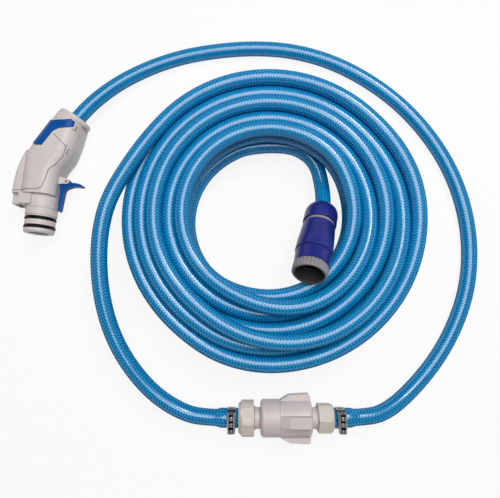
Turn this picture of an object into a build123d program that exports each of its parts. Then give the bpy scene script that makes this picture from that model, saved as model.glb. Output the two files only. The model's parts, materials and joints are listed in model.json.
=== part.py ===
"""Mains-water hook-up hose: inlet connector, pressure regulator, coiled hose and tap connector.

Millimetres, +Z up. The origin is the middle of the coil's eye, on the floor.
"""
import math
import os

import numpy as np
from build123d import *

# Hose, and how it is stretched over a barb
HOSE_OD = 15.0
HOSE_BORE = 10.0
STRETCH = 2.5               # growth of the hose's diameters over a barb
STRETCH_LENGTH = 16.0
STRETCH_TAPER = 5.0
BARB_CLEARANCE = 0.1        # on the diameter, barb crest to stretched bore
BARB_LENGTH = 15.0
BARB_RIDGES = 3
BARB_DEPTH = 0.6
TAIL_BORE = 8.0
NECK_RUN = 12.0             # straight runs that free stretches make at their ends
TAIL_RUN = 32.0
COIL_RUN = 24.0
PEEL_RUN = 7.0
TAP_RUN = 17.5
RUN_SHARE = 0.45            # share of the shorter run that an arc of a route takes

# Coil: columns of loops from the outer wall inwards
COIL_GAP = 0.45             # clear space between neighbouring loops
COIL_INNER_RADIUS = 78.0    # middle of the innermost column
COIL_COLUMNS = 5
COIL_CLIMBS = 3             # steps that each column climbs or falls
COIL_LAST_CLIMBS = 2        # steps that the innermost column falls before the hose leaves it
COIL_START = 145.0          # azimuth where the lead-in meets the coil
CLIMB_AZIMUTH = 45.0        # azimuth where each climbing half turn starts
COIL_END = 105.0            # azimuth where the lead-out leaves
COIL_PEEL = 10.0            # the last loop leaves the inner wall by this much

# Inlet connector, which lies flat on the floor
PLUG_X = -226.4
PLUG_Y = 23.1
PLUG_TURN = -3.3
PLUG_HALF = 19.0            # half the housing's thickness
PLUG_WALL = 2.4
PLUG_ROUND = 12.0           # rounding along the housing's long edges
SKIRT_RIGHT = 15.2
SKIRT_LEFT = -18.2
LOBE_LEFT = -26.0
LOBE_TOP = 44.0
LOBE_HALF = 14.5
LOBE_ROUND = 4.0
NECK_AT = (21.0, 81.3)      # middle of the neck's end, in the housing's plane
NECK_ANGLE = 61.5
NECK_HALF = 13.8
COLLAR_RADIUS = 16.8
COLLAR_LENGTH = 5.0
COLLAR_ROUND = 1.6
COLLAR_CLEARANCE = 0.8      # radial, round the hose where it bends out of the neck
GRIP_DEPTH = 1.2
GRIP_PROUD = 0.8
GRIP_UNDER = 8.0            # how far the grip reaches below the housing's seam
GRIP_CLEARANCE = 0.15
SEAM_WIDTH = 0.8
SEAM_DEPTH = 0.7
SPIGOT_BAND_RADIUS = 15.3
SPIGOT_BAND = 12.6
SPIGOT_RADIUS = 14.9
SPIGOT_TIP_RADIUS = 14.3
SPIGOT_STEP = 20.0
SPIGOT_LENGTH = 37.3
SPIGOT_BORE = 9.0
SPIGOT_ROOT_RADIUS = 12.0
SPIGOT_ROOT_LENGTH = 16.0
SEAL_SECTION = 3.5
SEAL_STAND = 0.55           # how far a seal stands proud of the spigot
SEAL_FROM_TIP = (14.1, 5.6)
KEY_RIGHT = -15.7
KEY_LEFT = -26.2
KEY_DEPTH = 10.4
KEY_HALF = 9.0
KEY_WALL = 1.8
KEY_RIB_END = -4.0          # rib from the key over the spigot's upper side
KEY_RIB_TOP = 16.6
KEY_CLEARANCE = 0.3         # rib to the spigot
SCREW_RADIUS = 1.4
SCREW_HEAD_RADIUS = 2.7
SCREW_HEAD = 2.0
SCREW_SINK = 3.0            # screw head below the housing's underside
SCREW_DEPTH = 13.0          # screw length into the upper boss, from the seam
BOSS_RADIUS = 3.6
SCREW_SPOTS = [(-10.5, 34.0), (10.8, 27.0), (17.5, 47.0)]
EDGE = 0.6                  # small chamfer on moulded edges
FIT = 0.05                  # radial clearance of pins, screws and seats
SPRING_CLEARANCE = 0.3      # end of a coil spring to its seat
HOSE_IN_NECK = 28.0         # how deep the hose reaches into the neck
ELBOW_RADIUS = 25.0
CLIP_WIDTH = 7.0
CLIP_THICK = 1.0

# Latch on the inlet connector
PIVOT = (23.3, 16.4)
PIN_RADIUS = 1.2
BARREL_RADIUS = 3.0
LATCH_HALF = 3.2
LATCH_CLEARANCE = 0.6
EAR_THICK = 2.2
EAR_RADIUS = 2.8
SPRING_SPACE = 3.2
LATCH_WIRE = 0.6
LATCH_CURLS = 2

# Pressure regulator, which stands on one of its fins, axis along X
REG_X = 15.2
REG_Y = -189.0
BODY_HALF = 23.5
BODY_RADIUS = 16.8
BODY_ROUND = 2.2
CAP_SPLIT = -6.0            # where the finned cap meets the body
SPLIT_GAP = 0.1
SKIRT_LENGTH = 12.0
SKIRT_RADIUS = 13.9
CHAMBER_RADIUS = 11.6
END_WALL = 4.0
FIN_RADIUS = 22.0
FIN_WIDTH = 10.0
FIN_RAMP = 8.0
FIN_COUNT = 4
FIN_ROUND = 1.0
NECK_RADIUS = 10.4          # half-inch parallel pipe thread, outside
NECK_BORE = 5.5
NECK_LENGTH = 14.0
THREAD_DEPTH = 0.9
THREAD_PITCH = 1.814
STEM_RADIUS = 5.2
STEM_BORE = 3.0
STEM_CLEARANCE = 0.2
PISTON_THICK = 4.0
PISTON_AT = 12.0
PISTON_CLEARANCE = 0.3
PISTON_TRAVEL = 1.2
WEB_AT = -11.0
WEB_THICK = 3.5
SEAT_GAP = 1.5
SEAT_RADIUS = 4.6
SEAT_LENGTH = 3.0
PISTON_WIRE = 1.8
PISTON_CURLS = 5
PISTON_SEAL = 1.9
STRAINER_LENGTH = 9.0
STRAINER_WALL = 0.7
WASHER_THICK = 1.6
FLANGE_RADIUS = 9.6
FLANGE_THICK = 2.6
NUT_START = 29.5
NUT_WALL = 2.2
NUT_CLEARANCE = 0.35
INLET_NUT_RADIUS = 16.3
INLET_NUT_CHAMFER = 3.6
INLET_NUT_LUGS = 6
OUTLET_NUT_FLATS = 24.2
HOSE_GAP = 0.3              # hose end to union nut

# Hose clamps
BAND_WIDTH = 8.0
BAND_THICK = 0.9
BAND_START = 2.0            # from the hose's end
WORM_RADIUS = 2.5
WORM_HEAD_RADIUS = 3.6
WORM_HEAD = 3.6
WORM_CLEARANCE = 0.25
HOUSING_LENGTH = 13.0
HOUSING_WALL = 1.2

# Tap connector, propped on the coil's inner loops
TAP_AT = (52.5, 7.0, 32.0)
TAP_HEADING = -106.0
TAP_RISE = 28.0
NUT_LENGTH = 20.0
NUT_RADIUS = 16.0
NUT_MOUTH_WALL = 3.0
HOSE_HOLE_CLEARANCE = 0.4
HOSE_IN_NUT = 14.0
COLLET_RADIUS = 11.0
COLLET_SLOTS = 8
STUB_CLEARANCE = 0.1
STUB_BORE = 3.2
CORE_THREAD_RADIUS = 12.9
CORE_FLANGE_RADIUS = 14.4
CORE_FLANGE = 2.7
CORE_RADIUS = 11.2
CORE_BORE = 8.7
CORE_LENGTH = 54.0
SLEEVE_START = 23.3
SLEEVE_END = 55.5
SLEEVE_RADIUS = 17.0
SLEEVE_TAPER = 1.5
SLEEVE_SHOULDER = 42.0
SLEEVE_TRAVEL = 3.0
SLIDE_CLEARANCE = 0.3
SLEEVE_WIRE = 1.2
SLEEVE_CURLS = 5
CLAW_AT = 45.0
CLAW_LENGTH = 4.0
CLAW_WIDTH = 5.0
CLAW_COUNT = 3
CLAW_CLEARANCE = 0.1
ADAPTOR_START = 32.0
ADAPTOR_BORE = 5.0
ADAPTOR_RADIUS = 16.4
ADAPTOR_TAPER = 0.8
ADAPTOR_SEAL_AT = 5.0       # from the adaptor's inner end
CLAW_BITE = 1.0             # depth of the groove that the claws lock into
ADAPTOR_END = 69.9
CUP_FLOOR = 60.0
CUP_RADIUS = 14.4
ADAPTOR_SEAL = 1.7
RING_RADIUS = 15.9
RING_LENGTH = 8.0
RING_GAP = 0.4
RING_SLEEVE = 14.1
RING_NOTCHES = 28
NOTCH_DEPTH = 0.7
TAP_THREAD_MINOR = 12.06    # three-quarter-inch parallel pipe thread, inside
TAP_THREAD_MAJOR = 13.2
TAP_WASHER = 2.5

# Worked-out sizes
HOSE_RADIUS = HOSE_OD / 2
SEAL_AT = [SPIGOT_LENGTH - back for back in SEAL_FROM_TIP]
STRETCH_RADIUS = (HOSE_OD + STRETCH) / 2
STRETCH_BORE = (HOSE_BORE + STRETCH) / 2
BARB_RADIUS = STRETCH_BORE - BARB_CLEARANCE / 2
PITCH = HOSE_OD + COIL_GAP
COIL_OUTER_RADIUS = COIL_INNER_RADIUS + (COIL_COLUMNS - 1) * PITCH
COIL_TOP = HOSE_RADIUS + COIL_CLIMBS * PITCH
REG_Z = FIN_RADIUS
NECK_END = BODY_HALF + NECK_LENGTH
TAIL_FLANGE = NECK_END + WASHER_THICK
NUT_FLOOR = TAIL_FLANGE + FLANGE_THICK + FIT
NUT_END = NUT_FLOOR + NUT_WALL
HOSE_FACE = NUT_END + HOSE_GAP

# Frames: each fitting's own axis is its frame's Z
plug_way = Vector(math.cos(math.radians(PLUG_TURN)), math.sin(math.radians(PLUG_TURN)), 0)
PLUG = Plane(origin=(PLUG_X, PLUG_Y, PLUG_HALF), x_dir=plug_way, z_dir=(0, 0, 1))
SPIGOT = Plane(origin=PLUG.origin, x_dir=(0, 0, 1), z_dir=PLUG.y_dir * -1)
neck_turn = math.radians(NECK_ANGLE)
neck_way = PLUG.x_dir * math.cos(neck_turn) + PLUG.y_dir * math.sin(neck_turn)
NECK = Plane(origin=PLUG.from_local_coords(Vector(*NECK_AT, 0)), x_dir=(0, 0, 1), z_dir=neck_way)
OUTLET = Plane(origin=(REG_X, REG_Y, REG_Z), x_dir=(0, 0, 1), z_dir=(1, 0, 0))
INLET = Plane(origin=(REG_X, REG_Y, REG_Z), x_dir=(0, 0, 1), z_dir=(-1, 0, 0))
heading = math.radians(TAP_HEADING)
rise = math.radians(TAP_RISE)
tap_way = Vector(math.cos(rise) * math.cos(heading), math.cos(rise) * math.sin(heading), math.sin(rise))
TAP = Plane(origin=TAP_AT, x_dir=Vector(0, 0, 1).cross(tap_way), z_dir=tap_way)

os.makedirs("parts", exist_ok=True)


def save(piece, name):
    """Label a finished piece and write it."""
    piece.label = name
    export_step(piece, f"parts/{name}.step")


def axial(frame):
    """Plane through a frame's axis: x runs along the axis, y is the radius."""
    return Plane(origin=frame.origin, x_dir=frame.z_dir, z_dir=frame.y_dir)


def spun(frame, angle):
    """Copy of a frame turned about its own axis."""
    side = math.radians(angle)
    return Plane(origin=frame.origin, x_dir=frame.x_dir * math.cos(side) + frame.y_dir * math.sin(side),
                 z_dir=frame.z_dir)


def turn(frame, *outline, mode=Mode.ADD):
    """Turn an outline of (along, radius) points about the frame's axis."""
    with BuildSketch(axial(frame)) as profile:
        with BuildLine():
            Polyline(*outline, close=True)
        make_face()
    revolve(profile.sketch, axis=Axis(frame.origin, frame.z_dir), mode=mode)


def ring(frame, start, end, inner, outer, mode=Mode.ADD):
    """Plain turned ring between two stations and two radii."""
    turn(frame, (start, inner), (start, outer), (end, outer), (end, inner), mode=mode)


def seal(frame, along, middle, section):
    """Round-section sealing ring."""
    with BuildSketch(axial(frame)) as profile:
        with Locations((along, middle)):
            Circle(section / 2)
    revolve(profile.sketch, axis=Axis(frame.origin, frame.z_dir))


def thread(start, end, crest, root):
    """Ring grooves that stand for a thread, as (along, radius) points from start to end."""
    count = int((end - start) / THREAD_PITCH)
    pitch = (end - start) / count
    points = []
    for number in range(count):
        at = start + number * pitch
        points += [(at + pitch * share, radius) for share, radius in
                   ((0.1, root), (0.3, crest), (0.7, crest), (0.9, root))]
    return points


def barbed(start, length):
    """Saw-tooth outside of a hose barb, as (along, radius) points from its shoulder to its tip."""
    step = length / BARB_RIDGES
    points = []
    for ridge in range(BARB_RIDGES):
        at = start + ridge * step
        points += [(at, BARB_RADIUS), (at + step, BARB_RADIUS - BARB_DEPTH)]
    return points


def meeting(start, start_way, end, end_way):
    """Middle point, and direction there, of the biarc between two points and directions."""
    span = end - start
    both = start_way + end_way
    bend = 2 * (1 - start_way.dot(end_way))
    along = span.dot(both)
    if bend > 1e-9:
        arm = (-along + math.sqrt(along * along + bend * span.dot(span))) / bend
    else:
        arm = span.dot(span) / (2 * along)
    first = start + start_way * arm
    last = end - end_way * arm
    return (first + last) * 0.5, (last - first).normalized()


def wound_line(stations, straight):
    """Path of tangent arcs through (point, direction) stations, with a straight length at each end."""
    with BuildLine() as line:
        first, first_way = stations[0]
        Line(first - first_way * straight, first)
        for (start, start_way), (end, end_way) in zip(stations, stations[1:]):
            middle, middle_way = meeting(start, start_way, end, end_way)
            TangentArc(start, middle, tangent=start_way)
            TangentArc(middle, end, tangent=middle_way)
        last, last_way = stations[-1]
        Line(last, last + last_way * straight)
    return line.wire()


def least_gap(path, diameter, apart):
    """Smallest clear space between lengths of a tube that lie more than apart along it."""
    step = diameter / 5
    points = []
    for edge in path.edges():
        count = max(2, math.ceil(edge.length / step))
        points += [tuple(edge @ (k / count)) for k in range(count)]
    points = np.array(points)
    run = np.concatenate([[0], np.cumsum(np.linalg.norm(np.diff(points, axis=0), axis=1))])
    gaps = [
        np.linalg.norm(points[run > run[k] + apart] - points[k], axis=1).min(initial=math.inf)
        for k in range(len(points))
    ]
    return min(gaps) - diameter


def spring_stations(frame, start, end, radius, curls):
    """Quarter-turn stations of a helix about the frame's axis."""
    quarters = curls * 4
    climb = (end - start) / quarters
    stations = []
    for quarter in range(quarters + 1):
        angle = math.radians(90 * quarter)
        spot = Vector(radius * math.cos(angle), radius * math.sin(angle), start + climb * quarter)
        way = Vector(-math.sin(angle), math.cos(angle), climb / (radius * math.pi / 2)).normalized()
        point = frame.from_local_coords(spot)
        stations.append((point, (frame.from_local_coords(spot + way) - point).normalized()))
    return stations


def spring(frame, start, end, radius, curls, wire, name):
    """Coil spring of round wire as one unbroken tube; prints its least gap to itself."""
    path = wound_line(spring_stations(frame, start + wire / 2, end - wire / 2, radius, curls), wire)
    print(name, "least gap", round(least_gap(path, wire, radius * 4), 2))
    with BuildPart() as coil:
        with BuildSketch(Plane(origin=path @ 0, z_dir=path % 0)):
            Circle(wire / 2)
        sweep(path=path)
    save(coil.part, name)


def route(points, name):
    """Path of straight runs joined by arcs as large as the runs allow; prints the radii."""
    corners = [Vector(*point) for point in points]
    radii = []
    for before, corner, after in zip(corners, corners[1:], corners[2:]):
        shorter = min((corner - before).length, (after - corner).length)
        half_turn = math.radians((corner - before).get_angle(after - corner)) / 2
        radii.append(RUN_SHARE * shorter / math.tan(half_turn))
    with BuildLine() as line:
        FilletPolyline(*corners, radius=radii)
    path = line.wire()
    print(name, "length", round(path.length), "radii", [round(radius) for radius in radii])
    return path


def hose(path, name, stretched_ends=()):
    """Hollow hose along a path; frames in stretched_ends look into ends that sit on a barb."""
    with BuildPart() as tube:
        with BuildSketch(Plane(origin=path @ 0, z_dir=path % 0)):
            Circle(HOSE_RADIUS)
            Circle(HOSE_BORE / 2, mode=Mode.SUBTRACT)
        sweep(path=path)
        section = math.pi * (HOSE_OD**2 - HOSE_BORE**2) / 4
        print(name, "volume over section times length", round(tube.part.volume / (section * path.length), 4))
        for end in stretched_ends:
            full = STRETCH_LENGTH
            faded = STRETCH_LENGTH + STRETCH_TAPER
            inside = (HOSE_BORE / 2 + HOSE_RADIUS) / 2
            turn(end, (0, inside), (0, STRETCH_RADIUS), (full, STRETCH_RADIUS),
                 (faded, HOSE_RADIUS), (faded, inside))
            turn(end, (0, 0), (0, STRETCH_BORE), (full, STRETCH_BORE), (faded, HOSE_BORE / 2), (faded, 0),
                 mode=Mode.SUBTRACT)
    save(tube.part, name)


# Inlet connector: housing blanks, made once and combined in the shells
def housing_blank(inset):
    """Housing body drawn in by inset on every side."""
    end_x = NECK_AT[0] - inset * math.cos(neck_turn)
    end_y = NECK_AT[1] - inset * math.sin(neck_turn)
    across = NECK_HALF - inset
    neck_right = (end_x + across * math.sin(neck_turn), end_y - across * math.cos(neck_turn))
    neck_left = (end_x - across * math.sin(neck_turn), end_y + across * math.cos(neck_turn))
    left = SKIRT_LEFT + inset
    right = SKIRT_RIGHT - inset
    with BuildPart() as blank:
        with BuildSketch(PLUG):
            with BuildLine():
                Spline((right, inset), (right + 0.3, 12), (right + 2.3, 26.5), (right + 8.9, 37.8),
                       (right + 12.8, 49), (right + 15.7, 62), neck_right)
                Line(neck_right, neck_left)
                FilletPolyline(neck_left, (left + 4.6, 50), (left, 41), (left, inset), radius=16)
                Line((left, inset), (right, inset))
            make_face()
        extrude(amount=PLUG_HALF - inset, both=True)
        flats = blank.faces().filter_by(Axis.Z)
        long_edges = [
            edge for edge in flats.edges()
            if PLUG.to_local_coords(edge.center()).Y > inset + 1
            and abs(NECK.to_local_coords(edge.center()).Z + inset) > 1
        ]
        fillet(long_edges, PLUG_ROUND - inset)
    return blank.part


def lobe_blank(inset):
    """Lobe beside the housing, drawn in by inset."""
    left = LOBE_LEFT + inset
    inner = SKIRT_LEFT + 3
    tip = (LOBE_LEFT + 6.5 + inset / 2, LOBE_TOP - 4 - inset)
    with BuildPart() as blank:
        with BuildSketch(PLUG):
            with BuildLine():
                Line((inner, inset), (left, inset))
                Spline((left, inset), (left + 0.5, 12), (left + 2.6, 27), tip)
                Line(tip, (inner, LOBE_TOP - inset))
                Line((inner, LOBE_TOP - inset), (inner, inset))
            make_face()
        extrude(amount=LOBE_HALF - inset, both=True)
        rims = [
            edge for edge in blank.faces().filter_by(Axis.Z).edges()
            if PLUG.to_local_coords(edge.center()).X < left + 5
            and PLUG.to_local_coords(edge.center()).Y > inset + 1
        ]
        fillet(rims, LOBE_ROUND - inset)
    return blank.part


HOUSING = housing_blank(0)
HOUSING_HOLLOW = housing_blank(PLUG_WALL)
GRIP_OUTSIDE = housing_blank(-GRIP_PROUD)
GRIP_BED = housing_blank(GRIP_DEPTH)
SEAM_BED = housing_blank(SEAM_DEPTH)
LOBE = lobe_blank(0)
LOBE_HOLLOW = lobe_blank(PLUG_WALL)
LOBE_SEAM_BED = lobe_blank(SEAM_DEPTH)

GRIP_OUTLINE = [(-21.6, 57.7), (-5.5, 82.7), (8.3, 74.5), (21.3, 75.7), (26.6, 77), (29.6, 74.6),
                (28.5, 69.7), (24.1, 67.8), (16.1, 66.4), (11, 63.8), (8.7, 60.8), (5.7, 55.9),
                (0.9, 48.1), (-6.3, 48.2), (-7.8, 49.5)]
SEAM_LINE = [(11, 60.4), (23, 49.6), (24, 49.9), (21.3, 38.5), (15, 29.7), (10, 24.3), (8.6, 15.8),
             (5.8, 5.6), (1.3, 3.3), (-30, 2)]
CLIP_MARKS = [((24.6, 44.2), -16.0), ((30.2, 69.0), -10.0)]
CLIP_MARK_SIZE = 5.0
EAR_OUTLINE = [(13, 13), (13, 22), (24.2, 18.8), (24.2, 14)]


def grip_prism(clearance):
    """Upright prism over the grip's outline, grown by clearance."""
    with BuildPart() as prism:
        with BuildSketch(PLUG.offset(-GRIP_UNDER - clearance)):
            with BuildLine():
                Polyline(*GRIP_OUTLINE, close=True)
            make_face()
            offset(amount=clearance, kind=Kind.INTERSECTION)
        extrude(amount=GRIP_UNDER + clearance + PLUG_HALF + GRIP_PROUD + 1)
    return prism.part


def seam_prism():
    """Upright prism over the panel seam and the two clip marks on the upper face."""
    with BuildPart() as prism:
        with BuildSketch(PLUG) as ribbon:
            with BuildLine() as seam:
                Polyline(*SEAM_LINE)
            trace(seam.line, line_width=SEAM_WIDTH)
        with BuildSketch(PLUG):
            for spot, angle in CLIP_MARKS:
                with Locations(Location((*spot, 0), angle)):
                    Rectangle(SEAM_WIDTH, CLIP_MARK_SIZE)
                    with Locations((-CLIP_MARK_SIZE / 5, -CLIP_MARK_SIZE / 2)):
                        Rectangle(CLIP_MARK_SIZE / 2, SEAM_WIDTH)
        extrude(amount=PLUG_HALF + 1)
    return prism.part


def boss_blank():
    """Pillars for the screws, kept just under the housing's surface."""
    with BuildPart() as blank:
        with BuildSketch(PLUG):
            with Locations(*SCREW_SPOTS):
                Circle(BOSS_RADIUS)
        extrude(amount=PLUG_HALF, both=True)
        add(SEAM_BED, mode=Mode.INTERSECT)
    return blank.part


def ear_blank():
    """The two ears that hold the latch's pin, above and below the latch."""
    start = LATCH_HALF + LATCH_CLEARANCE
    with BuildPart() as blank:
        for foot in (start, -start - EAR_THICK):
            with BuildSketch(PLUG.offset(foot)):
                with BuildLine():
                    Polyline(*EAR_OUTLINE, close=True)
                make_face()
                with Locations(PIVOT):
                    Circle(EAR_RADIUS)
            extrude(amount=EAR_THICK)
    return blank.part


GRIP_PRISM = grip_prism(-GRIP_CLEARANCE)
POCKET = grip_prism(0) - GRIP_BED
SEAM_CUT = seam_prism() - SEAM_BED - LOBE_SEAM_BED
BOSSES = boss_blank()
EARS = ear_blank()


def plug_shell(side, name):
    """One half of the housing: side is 1 for the upper half and -1 for the lower."""
    seam = PLUG if side > 0 else Plane(origin=PLUG.origin, x_dir=PLUG.x_dir, z_dir=PLUG.z_dir * -1)
    with BuildPart() as shell:
        add(HOUSING)
        add(LOBE)
        add(HOUSING_HOLLOW, mode=Mode.SUBTRACT)
        add(LOBE_HOLLOW, mode=Mode.SUBTRACT)
        add(BOSSES)
        add(EARS)
        with BuildSketch(PLUG):
            with Locations(PIVOT):
                Circle(PIN_RADIUS + FIT)
        extrude(amount=PLUG_HALF, both=True, mode=Mode.SUBTRACT)
        ring(SPIGOT, -PLUG_WALL - 1, 1, 0, SPIGOT_ROOT_RADIUS + FIT, mode=Mode.SUBTRACT)
        ring(NECK, -PLUG_WALL - 1, 1, 0, HOSE_RADIUS + COLLAR_CLEARANCE, mode=Mode.SUBTRACT)
        add(POCKET, mode=Mode.SUBTRACT)
        if side > 0:
            add(SEAM_CUT, mode=Mode.SUBTRACT)
            with BuildSketch(PLUG):
                with Locations(*SCREW_SPOTS):
                    Circle(SCREW_RADIUS + FIT)
            extrude(amount=SCREW_DEPTH + FIT, mode=Mode.SUBTRACT)
        else:
            with BuildSketch(PLUG):
                with Locations(*SCREW_SPOTS):
                    Circle(SCREW_RADIUS + FIT)
            extrude(amount=-PLUG_HALF, mode=Mode.SUBTRACT)
            with BuildSketch(PLUG.offset(-PLUG_HALF)):
                with Locations(*SCREW_SPOTS):
                    Circle(SCREW_HEAD_RADIUS + 2 * FIT)
            extrude(amount=SCREW_SINK + SCREW_HEAD + FIT, mode=Mode.SUBTRACT)
        split(bisect_by=seam, keep=Keep.TOP)
    save(shell.part, name)


plug_shell(1, "plug_upper_shell")
plug_shell(-1, "plug_lower_shell")

with BuildPart() as grip:
    add(GRIP_OUTSIDE)
    add(GRIP_BED, mode=Mode.SUBTRACT)
    add(GRIP_PRISM, mode=Mode.INTERSECT)
save(grip.part, "plug_grip")

with BuildPart() as collar:
    ring(NECK, 0, COLLAR_LENGTH, HOSE_RADIUS + COLLAR_CLEARANCE, COLLAR_RADIUS)
    fillet(collar.edges().filter_by(GeomType.CIRCLE).sort_by(SortBy.RADIUS)[-2:], COLLAR_ROUND)
save(collar.part, "plug_collar")

with BuildPart() as spigot:
    floor = SPIGOT_ROOT_LENGTH - END_WALL
    groove = SPIGOT_TIP_RADIUS + SEAL_STAND - SEAL_SECTION
    outline = [(-SPIGOT_ROOT_LENGTH, BARB_RADIUS + FIT), (-SPIGOT_ROOT_LENGTH, SPIGOT_ROOT_RADIUS),
               (0, SPIGOT_ROOT_RADIUS), (0, SPIGOT_BAND_RADIUS), (SPIGOT_BAND, SPIGOT_BAND_RADIUS),
               (SPIGOT_BAND, SPIGOT_RADIUS), (SPIGOT_STEP, SPIGOT_RADIUS), (SPIGOT_STEP, SPIGOT_TIP_RADIUS)]
    for at in SEAL_AT:
        outline += [(at - SEAL_SECTION / 2, SPIGOT_TIP_RADIUS), (at - SEAL_SECTION / 2, groove),
                    (at + SEAL_SECTION / 2, groove), (at + SEAL_SECTION / 2, SPIGOT_TIP_RADIUS)]
    outline += [(SPIGOT_LENGTH - 1, SPIGOT_TIP_RADIUS), (SPIGOT_LENGTH, SPIGOT_TIP_RADIUS - 1),
                (SPIGOT_LENGTH, SPIGOT_BORE), (-floor, SPIGOT_BORE), (-floor, BARB_RADIUS + FIT)]
    turn(SPIGOT, *outline)
save(spigot.part, "plug_spigot")

with BuildPart() as spigot_seals:
    for at in SEAL_AT:
        seal(SPIGOT, at, SPIGOT_TIP_RADIUS + SEAL_STAND - SEAL_SECTION / 2, SEAL_SECTION)
save(spigot_seals.part, "plug_seals")

with BuildPart() as key_block:
    middle = (KEY_LEFT + KEY_RIGHT) / 2
    width = KEY_RIGHT - KEY_LEFT
    with BuildSketch(PLUG):
        with Locations((middle, -KEY_DEPTH / 2)):
            Rectangle(width, KEY_DEPTH)
    extrude(amount=KEY_HALF, both=True)
    fillet(key_block.edges().filter_by(Axis(PLUG.origin, PLUG.y_dir)), 1.2)
    with BuildSketch(PLUG):
        with Locations((middle, -KEY_DEPTH / 2 - KEY_WALL)):
            Rectangle(width - 2 * KEY_WALL, KEY_DEPTH)
    extrude(amount=KEY_HALF - KEY_WALL, both=True, mode=Mode.SUBTRACT)
    rib_start = KEY_RIGHT - KEY_WALL / 2
    with BuildSketch(PLUG.offset(KEY_HALF / 2)):
        with Locations(((rib_start + KEY_RIB_END) / 2, -KEY_DEPTH / 2)):
            Rectangle(KEY_RIB_END - rib_start, KEY_DEPTH)
    extrude(amount=KEY_RIB_TOP - KEY_HALF / 2)
    with BuildSketch(SPIGOT):
        Circle(SPIGOT_BAND_RADIUS + KEY_CLEARANCE)
    extrude(amount=KEY_DEPTH + EDGE, both=True, mode=Mode.SUBTRACT)
save(key_block.part, "plug_key_block")

neck_foot = NECK.origin - NECK.z_dir * (NECK_AT[0] / math.cos(neck_turn))
elbow_tip = NECK.origin - NECK.z_dir * (HOSE_IN_NECK - BARB_LENGTH)
elbow_root = SPIGOT.origin - SPIGOT.z_dir * (SPIGOT_ROOT_LENGTH - END_WALL)
with BuildPart() as elbow:
    with BuildLine() as elbow_line:
        FilletPolyline(elbow_root, neck_foot, elbow_tip, radius=ELBOW_RADIUS)
    elbow_path = elbow_line.wire()
    with BuildSketch(Plane(origin=elbow_path @ 0, z_dir=elbow_path % 0)):
        Circle(BARB_RADIUS)
        Circle(TAIL_BORE / 2, mode=Mode.SUBTRACT)
    sweep(path=elbow_path)
save(elbow.part, "plug_hose_elbow")

with BuildPart() as neck_clip:
    middle = BARB_LENGTH / 2 - HOSE_IN_NECK
    ring(NECK, middle - CLIP_WIDTH / 2, middle + CLIP_WIDTH / 2, STRETCH_RADIUS + FIT,
         STRETCH_RADIUS + FIT + CLIP_THICK)
save(neck_clip.part, "plug_hose_clip")

with BuildPart() as screws:
    under_head = -PLUG_HALF + SCREW_SINK + SCREW_HEAD
    with BuildSketch(PLUG.offset(under_head)):
        with Locations(*SCREW_SPOTS):
            Circle(SCREW_RADIUS)
    extrude(amount=SCREW_DEPTH - under_head)
    with BuildSketch(PLUG.offset(under_head)):
        with Locations(*SCREW_SPOTS):
            Circle(SCREW_HEAD_RADIUS)
    extrude(amount=-SCREW_HEAD)
    with BuildSketch(PLUG.offset(under_head - SCREW_HEAD)):
        with Locations(*SCREW_SPOTS):
            Rectangle(3.2, 0.8)
            Rectangle(0.8, 3.2)
    extrude(amount=SCREW_HEAD / 2, mode=Mode.SUBTRACT)
save(screws.part, "plug_screws")

# Latch: hook arm and thumb lever in one piece, on a pin, with a torsion spring
ARM_OUTLINE = [(16.2, 13.4), (20.4, 15.6), (24.6, 15.4), (23.4, 11.5), (21.2, 6), (20.6, -1.3),
               (19.6, -12.8), (18.6, -14.4), (17.3, -13.9), (16.9, -1.7), (17.4, 5.7)]
LEVER_TOP = [(24, 15.2), (30.4, 15.8), (35.5, 15.1), (38.1, 14.1), (39.7, 13.2)]
LEVER_UNDER = [(39.8, 12.4), (37.5, 12), (32.5, 12.4), (28.2, 11.6), (25.2, 10.4), (21.8, 8.4)]
with BuildPart() as latch:
    with BuildSketch(PLUG):
        with Locations(PIVOT):
            Circle(BARREL_RADIUS)
        with BuildLine():
            Polyline(*ARM_OUTLINE, close=True)
        make_face()
        with BuildLine():
            Spline(*LEVER_TOP)
            Line(LEVER_TOP[-1], LEVER_UNDER[0])
            Spline(*LEVER_UNDER)
            Line(LEVER_UNDER[-1], LEVER_TOP[0])
        make_face()
    extrude(amount=LATCH_HALF, both=True)
    with BuildSketch(PLUG):
        with Locations(PIVOT):
            Circle(PIN_RADIUS + 2 * FIT)
    extrude(amount=LATCH_HALF, both=True, mode=Mode.SUBTRACT)
    with BuildSketch(PLUG.offset(-LATCH_HALF)):
        with Locations(PIVOT):
            Circle(BARREL_RADIUS + FIT)
    extrude(amount=SPRING_SPACE, mode=Mode.SUBTRACT)
save(latch.part, "latch_lever")

with BuildPart() as pin:
    reach = LATCH_HALF + LATCH_CLEARANCE + EAR_THICK
    with BuildSketch(PLUG):
        with Locations(PIVOT):
            Circle(PIN_RADIUS)
    extrude(amount=reach, both=True)
    chamfer(pin.edges().filter_by(GeomType.CIRCLE), 0.3)
save(pin.part, "latch_pin")

pivot_frame = Plane(origin=PLUG.from_local_coords(Vector(*PIVOT, 0)), x_dir=PLUG.x_dir, z_dir=PLUG.z_dir)
spring(pivot_frame, -LATCH_HALF, -LATCH_HALF + SPRING_SPACE - 4 * FIT, PIN_RADIUS + LATCH_WIRE, LATCH_CURLS,
       LATCH_WIRE, "latch_spring")

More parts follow.
